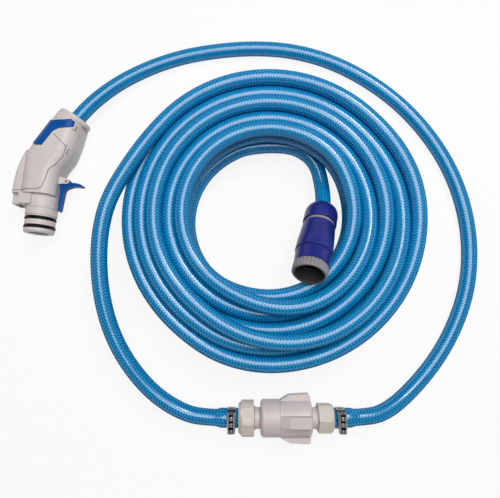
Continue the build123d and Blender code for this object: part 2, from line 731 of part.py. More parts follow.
# Pressure regulator
with BuildPart() as regulator_body:
    skirt_end = CAP_SPLIT + SKIRT_LENGTH
    web_end = WEB_AT + WEB_THICK
    neck_thread = [(-at, radius) for at, radius in
                   thread(BODY_HALF + 4, NECK_END - 1, NECK_RADIUS, NECK_RADIUS - THREAD_DEPTH)]
    turn(OUTLET, (-NECK_END, STEM_RADIUS + 1.4), (-NECK_END, NECK_RADIUS - THREAD_DEPTH),
         *reversed(neck_thread), (-BODY_HALF, NECK_RADIUS - THREAD_DEPTH),
         (-BODY_HALF, BODY_RADIUS - BODY_ROUND), (-BODY_HALF + BODY_ROUND, BODY_RADIUS),
         (CAP_SPLIT, BODY_RADIUS), (CAP_SPLIT, SKIRT_RADIUS), (skirt_end, SKIRT_RADIUS),
         (skirt_end, CHAMBER_RADIUS), (web_end, CHAMBER_RADIUS), (web_end, STEM_RADIUS + STEM_CLEARANCE),
         (WEB_AT, STEM_RADIUS + STEM_CLEARANCE), (WEB_AT, STEM_RADIUS + 3),
         (-BODY_HALF + END_WALL, STEM_RADIUS + 3), (-BODY_HALF + END_WALL, NECK_BORE),
         (-NECK_END + 1.6, NECK_BORE), (-NECK_END + 1.6, STEM_RADIUS + 1.4))
    rim = regulator_body.edges().filter_by(GeomType.CIRCLE).filter_by(
        lambda edge: abs(edge.radius - BODY_RADIUS) < 0.01).sort_by(Axis.X)
    fillet(rim[0], BODY_ROUND / 2)
save(regulator_body.part, "regulator_body")

with BuildPart() as regulator_cap:
    skirt_end = CAP_SPLIT + SKIRT_LENGTH
    cap_start = CAP_SPLIT + SPLIT_GAP
    cap_thread = thread(BODY_HALF + 4, NECK_END - 1, NECK_RADIUS, NECK_RADIUS - THREAD_DEPTH)
    turn(OUTLET, (cap_start, SKIRT_RADIUS + PISTON_CLEARANCE), (cap_start, BODY_RADIUS),
         (BODY_HALF - BODY_ROUND, BODY_RADIUS), (BODY_HALF, BODY_RADIUS - BODY_ROUND),
         (BODY_HALF, NECK_RADIUS - THREAD_DEPTH), *cap_thread, (NECK_END, NECK_RADIUS - THREAD_DEPTH),
         (NECK_END, NECK_BORE), (BODY_HALF - END_WALL, NECK_BORE), (BODY_HALF - END_WALL, CHAMBER_RADIUS),
         (skirt_end + SPLIT_GAP, CHAMBER_RADIUS), (skirt_end + SPLIT_GAP, SKIRT_RADIUS + PISTON_CLEARANCE))
    for number in range(FIN_COUNT):
        with BuildSketch(axial(spun(OUTLET, number * 360 / FIN_COUNT))):
            with BuildLine():
                Polyline((cap_start + 1, BODY_RADIUS - 1), (cap_start + 1, BODY_RADIUS),
                         (cap_start + 1 + FIN_RAMP, FIN_RADIUS - 1), (BODY_HALF - 3, FIN_RADIUS),
                         (BODY_HALF - 1.5, FIN_RADIUS - 1), (BODY_HALF - 0.5, BODY_RADIUS - 2.5),
                         (cap_start + 3, BODY_RADIUS - 1), close=True)
            make_face()
        extrude(amount=FIN_WIDTH / 2, both=True)
save(regulator_cap.part, "regulator_cap")

disc_end = PISTON_AT + PISTON_THICK
with BuildPart() as piston:
    stem_tip = -BODY_HALF + END_WALL + SEAT_LENGTH + SEAT_GAP
    bore_radius = CHAMBER_RADIUS - PISTON_CLEARANCE
    groove = CHAMBER_RADIUS - FIT - PISTON_SEAL
    mid = PISTON_AT + PISTON_THICK / 2
    turn(OUTLET, (stem_tip, STEM_BORE), (stem_tip, STEM_RADIUS), (PISTON_AT, STEM_RADIUS),
         (PISTON_AT, bore_radius), (mid - PISTON_SEAL / 2, bore_radius), (mid - PISTON_SEAL / 2, groove),
         (mid + PISTON_SEAL / 2, groove), (mid + PISTON_SEAL / 2, bore_radius), (disc_end, bore_radius),
         (disc_end, STEM_BORE))
save(piston.part, "regulator_piston")

with BuildPart() as piston_seal:
    seal(OUTLET, PISTON_AT + PISTON_THICK / 2, CHAMBER_RADIUS - FIT - PISTON_SEAL / 2, PISTON_SEAL)
save(piston_seal.part, "piston_seal")

spring(OUTLET, WEB_AT + WEB_THICK + SPRING_CLEARANCE, PISTON_AT - SPRING_CLEARANCE,
       (STEM_RADIUS + CHAMBER_RADIUS) / 2, PISTON_CURLS, PISTON_WIRE, "piston_spring")

with BuildPart() as valve_seat:
    seat_start = -BODY_HALF + END_WALL
    ring(OUTLET, seat_start - END_WALL / 2, seat_start + SEAT_LENGTH, 0, SEAT_RADIUS)
    with BuildSketch(Plane(origin=OUTLET.origin, x_dir=OUTLET.x_dir, z_dir=OUTLET.z_dir)
                     .offset(seat_start - END_WALL / 2)):
        Rectangle(2 * NECK_BORE - 4 * FIT, 2.0)
        Rectangle(2.0, 2 * NECK_BORE - 4 * FIT)
    extrude(amount=END_WALL / 2 - FIT)
save(valve_seat.part, "valve_seat")

with BuildPart() as strainer:
    collar_radius = STEM_RADIUS + 1.4 - FIT
    turn(INLET, (NECK_END - FIT, collar_radius), (NECK_END - 1.6 + FIT, collar_radius),
         (NECK_END - 1.6 + FIT, NECK_BORE - 4 * FIT), (NECK_END - STRAINER_LENGTH, NECK_BORE - 1.5),
         (NECK_END - STRAINER_LENGTH, 0), (NECK_END - STRAINER_LENGTH + STRAINER_WALL, 0),
         (NECK_END - STRAINER_LENGTH + STRAINER_WALL, NECK_BORE - 1.5 - STRAINER_WALL),
         (NECK_END - FIT, NECK_BORE - STRAINER_WALL - 4 * FIT))
save(strainer.part, "inlet_strainer")

with BuildPart() as washers:
    for frame in (INLET, OUTLET):
        ring(frame, NECK_END, TAIL_FLANGE, NECK_BORE + 1.5, FLANGE_RADIUS)
save(washers.part, "union_washers")


def hose_tail(frame, name):
    """Flanged hose tail with a barbed end."""
    with BuildPart() as tail:
        barb_start = HOSE_FACE
        turn(frame, (TAIL_FLANGE, TAIL_BORE / 2), (TAIL_FLANGE, FLANGE_RADIUS),
             (TAIL_FLANGE + FLANGE_THICK, FLANGE_RADIUS), (TAIL_FLANGE + FLANGE_THICK, BARB_RADIUS),
             *barbed(barb_start, BARB_LENGTH), (barb_start + BARB_LENGTH, TAIL_BORE / 2))
    save(tail.part, name)


hose_tail(INLET, "inlet_hose_tail")
hose_tail(OUTLET, "outlet_hose_tail")

with BuildPart() as inlet_nut:
    bore = NECK_RADIUS + NUT_CLEARANCE
    turn(INLET, (NUT_START, bore), (NUT_START, INLET_NUT_RADIUS - 0.5), (NUT_START + 0.5, INLET_NUT_RADIUS),
         (NUT_END - INLET_NUT_CHAMFER, INLET_NUT_RADIUS), (NUT_END, INLET_NUT_RADIUS - INLET_NUT_CHAMFER),
         (NUT_END, BARB_RADIUS + NUT_CLEARANCE), (NUT_FLOOR, BARB_RADIUS + NUT_CLEARANCE), (NUT_FLOOR, bore))
    for number in range(INLET_NUT_LUGS):
        with BuildSketch(axial(spun(INLET, (number + 0.5) * 360 / INLET_NUT_LUGS))):
            with Locations(((NUT_START + NUT_END) / 2, INLET_NUT_RADIUS)):
                Rectangle(NUT_END - NUT_START + 1, 2.4)
        extrude(amount=4.5, both=True, mode=Mode.SUBTRACT)
save(inlet_nut.part, "inlet_union_nut")

with BuildPart() as outlet_nut:
    bore = NECK_RADIUS + NUT_CLEARANCE
    with BuildSketch(OUTLET.offset(NUT_START)):
        RegularPolygon(OUTLET_NUT_FLATS / 2, 6, major_radius=False)
    extrude(amount=NUT_END - NUT_START)
    corner = OUTLET_NUT_FLATS / math.sqrt(3)
    turn(OUTLET, (NUT_END - 3, corner + 0.2), (NUT_END + 0.1, OUTLET_NUT_FLATS / 2 - 1.2),
         (NUT_END + 0.1, corner + 1), (NUT_END - 3, corner + 1), mode=Mode.SUBTRACT)
    ring(OUTLET, NUT_START - 1, NUT_FLOOR, 0, bore, mode=Mode.SUBTRACT)
    ring(OUTLET, NUT_FLOOR - 1, NUT_END + 1, 0, BARB_RADIUS + NUT_CLEARANCE, mode=Mode.SUBTRACT)
save(outlet_nut.part, "outlet_union_nut")

# Worm-drive hose clamps: the worm lies across the top of the band, its head towards -Y
BAND_MIDDLE = HOSE_FACE + BAND_START + BAND_WIDTH / 2
BAND_OUTSIDE = STRETCH_RADIUS + FIT + BAND_THICK
WORM_HEIGHT = BAND_OUTSIDE + HOUSING_WALL + WORM_RADIUS


def clamp(frame, side):
    """Band with its worm housing, and the worm screw, on one hose tail."""
    middle = frame.origin + frame.z_dir * BAND_MIDDLE
    worm = Plane(origin=middle + Vector(0, 0, WORM_HEIGHT), x_dir=(1, 0, 0), z_dir=(0, -1, 0))
    reach = WORM_RADIUS + WORM_CLEARANCE + HOUSING_WALL
    with BuildPart() as band:
        ring(frame, BAND_MIDDLE - BAND_WIDTH / 2, BAND_MIDDLE + BAND_WIDTH / 2, STRETCH_RADIUS + FIT,
             BAND_OUTSIDE)
        with BuildSketch(worm.offset(-HOUSING_LENGTH / 2)):
            Circle(reach)
            with Locations((0, -reach / 2)):
                Rectangle(2 * reach, reach + HOUSING_WALL)
        extrude(amount=HOUSING_LENGTH)
        ring(frame, BAND_MIDDLE - BAND_WIDTH, BAND_MIDDLE + BAND_WIDTH, 0, STRETCH_RADIUS + FIT,
             mode=Mode.SUBTRACT)
        ring(worm, -HOUSING_LENGTH, HOUSING_LENGTH, 0, WORM_RADIUS + WORM_CLEARANCE, mode=Mode.SUBTRACT)
    save(band.part, f"clamp_band_{side}")
    with BuildPart() as screw:
        start = -HOUSING_LENGTH / 2 + 1
        head = HOUSING_LENGTH / 2 + WORM_CLEARANCE
        teeth = thread(start, head - 1, WORM_RADIUS, WORM_RADIUS - 0.6)
        turn(worm, (start, 0), *teeth, (head - 1, WORM_RADIUS), (head, WORM_RADIUS), (head, WORM_HEAD_RADIUS),
             (head + WORM_HEAD, WORM_HEAD_RADIUS), (head + WORM_HEAD, 0))
        with BuildSketch(worm.offset(head + WORM_HEAD)):
            Rectangle(2 * WORM_HEAD_RADIUS, 1.0)
        extrude(amount=-1.4, mode=Mode.SUBTRACT)
    save(screw.part, f"clamp_screw_{side}")


clamp(INLET, "inlet")
clamp(OUTLET, "outlet")

# Tap connector
with BuildPart() as collet_nut:
    hole = HOSE_RADIUS + HOSE_HOLE_CLEARANCE
    cavity = CORE_THREAD_RADIUS + SLIDE_CLEARANCE
    turn(TAP, (0, hole), (0, NUT_RADIUS - 4), (1, NUT_RADIUS - 2.6), (3, NUT_RADIUS - 1.2),
         (6, NUT_RADIUS - 0.3), (9, NUT_RADIUS), (NUT_LENGTH - EDGE, NUT_RADIUS),
         (NUT_LENGTH, NUT_RADIUS - EDGE), (NUT_LENGTH, cavity), (NUT_MOUTH_WALL, cavity),
         (NUT_MOUTH_WALL, hole))
save(collet_nut.part, "collet_nut")

with BuildPart() as collet:
    slot_depth = 6.5
    turn(TAP, (NUT_MOUTH_WALL + 4 * FIT, HOSE_RADIUS + FIT), (NUT_MOUTH_WALL + 4 * FIT, COLLET_RADIUS - 1.5),
         (NUT_MOUTH_WALL + 3, COLLET_RADIUS), (HOSE_IN_NUT - FIT, COLLET_RADIUS),
         (HOSE_IN_NUT - FIT, HOSE_RADIUS + FIT))
    with BuildSketch(TAP.offset(NUT_MOUTH_WALL)):
        with PolarLocations(COLLET_RADIUS - 1.5, COLLET_SLOTS):
            Rectangle(8, 1.2)
    extrude(amount=slot_depth, mode=Mode.SUBTRACT)
save(collet.part, "collet_ring")

with BuildPart() as core:
    stub = HOSE_BORE / 2 - STUB_CLEARANCE
    back = HOSE_IN_NUT + FIT
    flange = NUT_LENGTH + SLIDE_CLEARANCE
    turn(TAP, (NUT_MOUTH_WALL + 1, STUB_BORE), (NUT_MOUTH_WALL + 1, stub), (back, stub),
         (back, COLLET_RADIUS + SLIDE_CLEARANCE), (NUT_MOUTH_WALL + 5, COLLET_RADIUS + SLIDE_CLEARANCE),
         (NUT_MOUTH_WALL + 5, CORE_THREAD_RADIUS), (flange, CORE_THREAD_RADIUS), (flange, CORE_FLANGE_RADIUS),
         (flange + CORE_FLANGE, CORE_FLANGE_RADIUS), (flange + CORE_FLANGE, CORE_RADIUS),
         (CORE_LENGTH, CORE_RADIUS), (CORE_LENGTH, CORE_BORE), (ADAPTOR_START - 2, CORE_BORE),
         (ADAPTOR_START - 2, STUB_BORE))
    with BuildSketch(TAP.offset(CLAW_AT)):
        with PolarLocations((CORE_RADIUS + CORE_BORE) / 2, CLAW_COUNT):
            Rectangle(CORE_RADIUS - CORE_BORE + 2, CLAW_WIDTH)
    extrude(amount=CLAW_LENGTH, mode=Mode.SUBTRACT)
save(core.part, "connector_core")

with BuildPart() as claws:
    groove = CORE_BORE - CLAW_BITE
    with BuildSketch(TAP.offset(CLAW_AT + CLAW_CLEARANCE)):
        with PolarLocations((CORE_RADIUS + groove) / 2, CLAW_COUNT):
            Rectangle(CORE_RADIUS - groove - CLAW_BITE, CLAW_WIDTH - 2 * CLAW_CLEARANCE)
    extrude(amount=CLAW_LENGTH - 2 * CLAW_CLEARANCE)
save(claws.part, "lock_claws")

with BuildPart() as sleeve:
    spring_room = CORE_FLANGE_RADIUS + SLIDE_CLEARANCE
    slide = CORE_RADIUS + SLIDE_CLEARANCE
    turn(TAP, (SLEEVE_START, spring_room), (SLEEVE_START, SLEEVE_RADIUS - SLEEVE_TAPER - EDGE),
         (SLEEVE_START + EDGE, SLEEVE_RADIUS - SLEEVE_TAPER), (SLEEVE_SHOULDER + 5, SLEEVE_RADIUS),
         (SLEEVE_END - EDGE, SLEEVE_RADIUS), (SLEEVE_END, SLEEVE_RADIUS - EDGE), (SLEEVE_END, slide),
         (SLEEVE_SHOULDER, slide), (SLEEVE_SHOULDER, spring_room))
save(sleeve.part, "release_sleeve")

spring(TAP, NUT_LENGTH + SLIDE_CLEARANCE + CORE_FLANGE + SPRING_CLEARANCE, SLEEVE_SHOULDER - SPRING_CLEARANCE,
       (CORE_RADIUS + CORE_FLANGE_RADIUS) / 2, SLEEVE_CURLS, SLEEVE_WIRE, "sleeve_spring")

with BuildPart() as adaptor:
    plug_radius = CORE_BORE - 4 * FIT
    groove = CORE_BORE - FIT - ADAPTOR_SEAL
    seal_at = ADAPTOR_START + ADAPTOR_SEAL_AT
    claw_groove = CORE_BORE - CLAW_BITE
    shoulder = SLEEVE_END + RING_GAP
    turn(TAP, (ADAPTOR_START, ADAPTOR_BORE), (ADAPTOR_START, plug_radius),
         (seal_at - ADAPTOR_SEAL / 2, plug_radius), (seal_at - ADAPTOR_SEAL / 2, groove),
         (seal_at + ADAPTOR_SEAL / 2, groove),
         (seal_at + ADAPTOR_SEAL / 2, plug_radius), (CLAW_AT, plug_radius), (CLAW_AT, claw_groove),
         (CLAW_AT + CLAW_LENGTH, claw_groove), (CLAW_AT + CLAW_LENGTH, plug_radius), (shoulder, plug_radius),
         (shoulder, ADAPTOR_RADIUS - EDGE), (shoulder + EDGE, ADAPTOR_RADIUS),
         (ADAPTOR_END, ADAPTOR_RADIUS - ADAPTOR_TAPER),
         (ADAPTOR_END, CUP_RADIUS), (CUP_FLOOR, CUP_RADIUS), (CUP_FLOOR, ADAPTOR_BORE))
save(adaptor.part, "tap_adaptor")

with BuildPart() as adaptor_seal:
    seal(TAP, ADAPTOR_START + ADAPTOR_SEAL_AT, CORE_BORE - FIT - ADAPTOR_SEAL / 2, ADAPTOR_SEAL)
save(adaptor_seal.part, "adaptor_seal")

with BuildPart() as thread_ring:
    start = CUP_FLOOR + TAP_WASHER + RING_GAP
    rim = ADAPTOR_END + RING_GAP
    end = rim + RING_LENGTH
    inside = thread(start + 1, end - 1, TAP_THREAD_MINOR, TAP_THREAD_MAJOR)
    turn(TAP, (start, RING_SLEEVE), (rim, RING_SLEEVE), (rim, RING_RADIUS), (end - 1, RING_RADIUS),
         (end, RING_RADIUS - 1), (end, TAP_THREAD_MAJOR), (end - 1, TAP_THREAD_MINOR), *reversed(inside),
         (start, TAP_THREAD_MINOR))
    with BuildSketch(TAP.offset(rim)):
        with PolarLocations(RING_RADIUS, RING_NOTCHES):
            Circle(NOTCH_DEPTH)
    extrude(amount=RING_LENGTH, mode=Mode.SUBTRACT)
save(thread_ring.part, "thread_ring")

with BuildPart() as tap_washer:
    ring(TAP, CUP_FLOOR, CUP_FLOOR + TAP_WASHER, ADAPTOR_BORE + 1, CUP_RADIUS - SLIDE_CLEARANCE)
save(tap_washer.part, "tap_washer")


# Coil: each column falls or climbs one step in every other half turn, and shifts inwards at its end
def coil_stations():
    """Quarter-turn stations of the loops, clockwise from the outer top to the innermost column."""
    half = 180.0
    legs = [(COIL_START - CLIMB_AZIMUTH, 0, 0)]
    climb = -PITCH
    for column in range(COIL_COLUMNS):
        innermost = column == COIL_COLUMNS - 1
        steps = COIL_LAST_CLIMBS if innermost else COIL_CLIMBS
        for step in range(steps):
            legs.append((half, 0, climb))
            if step < steps - 1:
                legs.append((half, 0, 0))
        if not innermost:
            legs.append((half, -PITCH, 0))
        climb = -climb
    legs.append((CLIMB_AZIMUTH + half - COIL_END, -COIL_PEEL, 0))
    stations = []
    azimuth, radius, height = COIL_START, COIL_OUTER_RADIUS, COIL_TOP
    for sweep_angle, inwards, upwards in legs:
        count = max(1, round(sweep_angle / 90))
        for part in range(count):
            share = part / count
            eased = share * share * (3 - 2 * share)
            rate = 6 * share * (1 - share) / math.radians(sweep_angle)
            stations.append(coil_station(azimuth - sweep_angle * share, radius + inwards * eased,
                                         height + upwards * eased, inwards * rate, upwards * rate))
        azimuth -= sweep_angle
        radius += inwards
        height += upwards
    stations.append(coil_station(azimuth, radius, height, 0, 0))
    return stations


def coil_station(azimuth, radius, height, inwards, upwards):
    """Point on the coil and its direction, clockwise seen from above."""
    angle = math.radians(azimuth)
    outwards = Vector(math.cos(angle), math.sin(angle), 0)
    around = Vector(math.sin(angle), -math.cos(angle), 0)
    way = around * radius + outwards * inwards + Vector(0, 0, upwards)
    return outwards * radius + Vector(0, 0, height), way.normalized()


loops = coil_stations()
coil_path = wound_line(loops, HOSE_OD)
print("hose_coil length", round(coil_path.length), "least gap",
      round(least_gap(coil_path, HOSE_OD, COIL_INNER_RADIUS), 3))
hose(coil_path, "hose_coil")

# Free stretches: route points chosen by eye from the photograph
feed_end = OUTLET.origin + OUTLET.z_dir * HOSE_FACE
neck_start = NECK.origin - NECK.z_dir * HOSE_IN_NECK
FEED_ROUTE = [
    (-162, 146.5, 14.5), (-129, 169, 9), (-96, 182.5, 7.5), (-60, 190, 7.5), (-18, 194, 7.5),
    (26, 191.5, 7.5),
    (69, 179, 7.5), (108, 157.5, 7.5), (142, 130, 7.5), (169.5, 97, 7.5), (190.5, 59.5, 7.5),
    (203, 18.5, 7.5), (206.5, -24, 7.5), (201, -66, 7.5), (186, -104.5, 7.5), (164, -139, 8),
    (136, -167, 12), (112, -183.3, 18.3),
]
feed_points = [neck_start, NECK.origin + NECK.z_dir * NECK_RUN, *FEED_ROUTE,
               feed_end + OUTLET.z_dir * TAIL_RUN, feed_end]
hose(route(feed_points, "hose_feed"), "hose_feed",
     [Plane(origin=neck_start, x_dir=NECK.x_dir, z_dir=NECK.z_dir),
      Plane(origin=feed_end, x_dir=OUTLET.x_dir, z_dir=OUTLET.z_dir)])

lead_start = INLET.origin + INLET.z_dir * HOSE_FACE
coil_first, coil_first_way = loops[0]
lead_end = coil_first - coil_first_way * HOSE_OD
LEAD_IN_ROUTE = [
    (-83, -183, 23), (-109, -165.5, 27), (-131.5, -138, 33), (-146, -110, 37.5), (-154.5, -80, 42),
    (-158, -49, 46), (-157, -18, 49.5), (-150, 13, 52),
]
lead_points = [lead_start, lead_start + INLET.z_dir * TAIL_RUN, *LEAD_IN_ROUTE,
               lead_end - coil_first_way * COIL_RUN, lead_end]
hose(route(lead_points, "hose_lead_in"), "hose_lead_in",
     [Plane(origin=lead_start, x_dir=INLET.x_dir, z_dir=INLET.z_dir)])

coil_last, coil_last_way = loops[-1]
out_start = coil_last + coil_last_way * HOSE_OD
out_end = TAP.origin + TAP.z_dir * HOSE_IN_NUT
LEAD_OUT_ROUTE = [(27.6, 72.5, 22.1), (46.7, 57.2, 21.1), (50.9, 31.9, 20.6)]
out_points = [out_start, out_start + coil_last_way * PEEL_RUN, *LEAD_OUT_ROUTE,
              out_end - TAP.z_dir * TAP_RUN, out_end]
hose(route(out_points, "hose_lead_out"), "hose_lead_out")
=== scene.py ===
import json
import bpy
import numpy as np
from math import radians
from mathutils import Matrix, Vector


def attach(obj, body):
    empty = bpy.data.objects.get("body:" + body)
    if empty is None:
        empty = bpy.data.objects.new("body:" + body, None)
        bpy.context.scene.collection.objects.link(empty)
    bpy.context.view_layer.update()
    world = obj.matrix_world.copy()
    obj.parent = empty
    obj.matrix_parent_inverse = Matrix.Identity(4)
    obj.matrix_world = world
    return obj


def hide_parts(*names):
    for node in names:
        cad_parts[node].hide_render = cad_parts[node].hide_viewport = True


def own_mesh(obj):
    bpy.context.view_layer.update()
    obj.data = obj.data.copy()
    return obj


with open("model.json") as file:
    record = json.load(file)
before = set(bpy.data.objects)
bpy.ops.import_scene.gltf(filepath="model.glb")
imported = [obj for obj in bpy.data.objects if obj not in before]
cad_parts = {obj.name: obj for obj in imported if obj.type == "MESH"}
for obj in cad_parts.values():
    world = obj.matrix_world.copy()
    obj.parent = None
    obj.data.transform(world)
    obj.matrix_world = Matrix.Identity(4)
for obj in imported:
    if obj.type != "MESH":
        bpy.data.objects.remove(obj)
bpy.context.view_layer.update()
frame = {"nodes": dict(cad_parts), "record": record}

nodes = frame["nodes"]
scene = bpy.context.scene
print("frame loaded with", len(nodes), "nodes")


photoView = {
    "place": (-0.018, -0.092, 0.441),
    "tilt": 8.4,         # degrees off straight down
    "lens": 30.96,
    "sensor": 36.0,
}

cameraData = bpy.data.cameras.new("photoCamera")
cameraData.lens = photoView["lens"]
cameraData.sensor_fit = "HORIZONTAL"
cameraData.sensor_width = photoView["sensor"]
cameraData.clip_start = 0.01
camera = bpy.data.objects.new("photoCamera", cameraData)
camera.location = photoView["place"]
camera.rotation_euler = (radians(photoView["tilt"]), 0, 0)
scene.collection.objects.link(camera)
scene.camera = camera
scene.view_settings.view_transform = "Standard"
print("camera set")


def tone(red, green, blue):
    # a colour as seen on a screen (0 to 255) turned into the renderer's linear values
    seen = np.array([red, green, blue]) / 255
    linear = np.where(seen < 0.04045, seen / 12.92, ((seen + 0.055) / 1.055) ** 2.4)
    return (*[float(x) for x in linear], 1.0)


def add(tree, kind, sockets=None, **settings):
    node = tree.nodes.new("ShaderNode" + kind)
    for key, value in settings.items():
        setattr(node, key, value)
    for key, value in (sockets or {}).items():
        if isinstance(value, bpy.types.NodeSocket):
            tree.links.new(value, node.inputs[key])
        else:
            node.inputs[key].default_value = value
    return node


def calc(tree, operation, *values):
    return add(tree, "Math", dict(enumerate(values)), operation=operation).outputs[0]


def spread(tree, value, low, high, outLow, outHigh, smooth=False):
    # a value from low to high becomes one from outLow to outHigh, held at both ends
    node = add(tree, "MapRange", {"Value": value, "From Min": low, "From Max": high,
                                  "To Min": outLow, "To Max": outHigh})
    node.interpolation_type = "SMOOTHSTEP" if smooth else "LINEAR"
    return node.outputs[0]


def blendTones(tree, factor, first, second):
    node = add(tree, "Mix", {0: factor, 6: first, 7: second}, data_type="RGBA")
    return node.outputs[2]


def blankFinish(name):
    finish = bpy.data.materials.new(name)
    finish.use_nodes = True
    tree = finish.node_tree
    tree.nodes.clear()
    out = add(tree, "OutputMaterial")
    shader = add(tree, "BsdfPrincipled")
    tree.links.new(shader.outputs[0], out.inputs[0])
    return finish, tree, shader


noiseSpan = (0.3, 0.7)      # most values of a noise lie between these


def mouldedFinish(s):
    # plastic from a mould: slow drift of tone, fine skin grain, edges softened and rubbed paler,
    # painted shade in narrow seams, darkened where ambient occlusion finds them closed in
    finish, tree, shader = blankFinish(s["name"])
    where = add(tree, "TexCoord").outputs["Object"]
    drift = add(tree, "TexNoise", {"Vector": where, "Scale": s["driftScale"], "Detail": 4.0}).outputs[0]
    grain = add(tree, "TexNoise", {"Vector": where, "Scale": s["grainScale"], "Detail": 3.0}).outputs[0]
    rounded = add(tree, "Bevel", {"Radius": s["edge"]}, samples=6).outputs[0]
    flat = add(tree, "NewGeometry").outputs["True Normal"]
    along = add(tree, "VectorMath", {0: rounded, 1: flat}, operation="DOT_PRODUCT").outputs["Value"]
    rubbed = spread(tree, along, *s["edgeTurn"], 0.0, s["rub"])
    body = blendTones(tree, spread(tree, drift, *noiseSpan, 0, 1), tone(*s["shade"]), tone(*s["colour"]))
    # painted shade: narrow seams and recesses darkened by local ambient occlusion
    nearby = add(tree, "AmbientOcclusion", {"Distance": s["seamReach"]}, samples=8, only_local=True)
    seamShade = spread(tree, nearby.outputs["AO"], *s["seamShadeSpan"], 1, 0, smooth=True)
    body = blendTones(tree, seamShade, body, tone(*[c * s["seamShadeTone"] for c in s["shade"]]))
    rubbed = calc(tree, "MULTIPLY", rubbed, calc(tree, "SUBTRACT", 1.0, seamShade))
    if "bore" in s:
        # painted shade in the bore: darker where the distance from the bore's axis is small
        bore = s["bore"]
        reach = add(tree, "VectorMath", {0: where, 1: bore["start"]}, operation="SUBTRACT").outputs[0]
        off = add(tree, "VectorMath", {0: reach, 1: bore["axis"]}, operation="CROSS_PRODUCT").outputs[0]
        away = add(tree, "VectorMath", {0: off}, operation="LENGTH").outputs["Value"]
        boreShade = spread(tree, away, bore["radius"], bore["radius"] + bore["blur"], 1, 0, smooth=True)
        body = blendTones(tree, boreShade, body, tone(*bore["tone"]))
        rubbed = calc(tree, "MULTIPLY", rubbed, calc(tree, "SUBTRACT", 1.0, boreShade))
    tree.links.new(blendTones(tree, rubbed, body, tone(*s["edgeTone"])), shader.inputs["Base Color"])
    rough = spread(tree, grain, *noiseSpan, s["rough"] - s["roughSwing"], s["rough"] + s["roughSwing"])
    tree.links.new(rough, shader.inputs["Roughness"])
    bump = add(tree, "Bump", {"Strength": s["grainStrength"], "Distance": s["grainDepth"],
                              "Height": grain, "Normal": rounded})
    tree.links.new(bump.outputs[0], shader.inputs["Normal"])
    shader.inputs["Specular IOR Level"].default_value = s["gloss"]
    for socket, value in s.get("extra", {}).items():
        shader.inputs[socket].default_value = value
    return finish


plainMould = {
    "driftScale": 45,
    "grainScale": 1900,
    "grainStrength": 0.25,
    "grainDepth": 0.00012,
    "edge": 0.0005,
    "edgeTurn": (0.995, 0.8),   # cosines of the turn at which an edge starts to pale and is palest
    "rub": 0.35,
    "rough": 0.42,
    "roughSwing": 0.06,
    "gloss": 0.3,
    # the seam keys set the painted shade laid into narrow seams
    "seamReach": 0.0012,
    "seamShadeSpan": (0.25, 0.75),   # openness at which a seam gets its full painted shade and none of it
    "seamShadeTone": 0.5,
}
tapGrey = {**plainMould, "name": "tap_grey", "colour": (150, 146, 147), "shade": (130, 126, 128),
           "edgeTone": (176, 172, 172), "rough": 0.48}
tapMouth = {
    **tapGrey,
    "name": "tapMouthGrey",
    # painted shade inside the tap's bore: the tone laid near its axis
    "bore": {"start": (0.0525, 0.007, 0.032), "axis": (-0.24337, -0.84871, 0.46947),
             "radius": 0.0134, "blur": 0.0006, "tone": (58, 54, 52)},
}
mouldedLooks = [
    {**plainMould, "name": "beige", "colour": (215, 206, 202), "shade": (206, 197, 193),
     "edgeTone": (228, 221, 217)},
    {**plainMould, "name": "grip_blue", "colour": (10, 84, 160), "shade": (6, 74, 146),
     "edgeTone": (50, 118, 186), "rough": 0.38, "gloss": 0.15},
    {**plainMould, "name": "latch_blue", "colour": (4, 82, 162), "shade": (2, 70, 146),
     "edgeTone": (50, 120, 190), "rough": 0.36, "gloss": 0.15},
    {**plainMould, "name": "inner_white", "colour": (214, 212, 208), "shade": (204, 202, 198),
     "edgeTone": (226, 225, 222)},
    {**plainMould, "name": "regulator_white", "colour": (214, 203, 201), "shade": (204, 192, 191),
     "edgeTone": (228, 219, 218), "rough": 0.36,
     "extra": {"Subsurface Weight": 0.3, "Subsurface Radius": (0.0035, 0.003, 0.003),
               "Subsurface Scale": 1.0}},
    {**plainMould, "name": "nut_cream", "colour": (216, 207, 196), "shade": (206, 196, 184),
     "edgeTone": (230, 224, 214), "rough": 0.4,
     "extra": {"Subsurface Weight": 0.2, "Subsurface Radius": (0.003, 0.0027, 0.002),
               "Subsurface Scale": 1.0}},
    {**plainMould, "name": "tap_navy", "colour": (34, 42, 128), "shade": (28, 34, 112),
     "edgeTone": (70, 84, 160), "rough": 0.26, "gloss": 0.3},
    tapGrey,
    {**plainMould, "name": "seal_black", "colour": (14, 14, 16), "shade": (8, 8, 10),
     "edgeTone": (30, 30, 33), "rough": 0.5, "driftScale": 160, "gloss": 0.15},
]


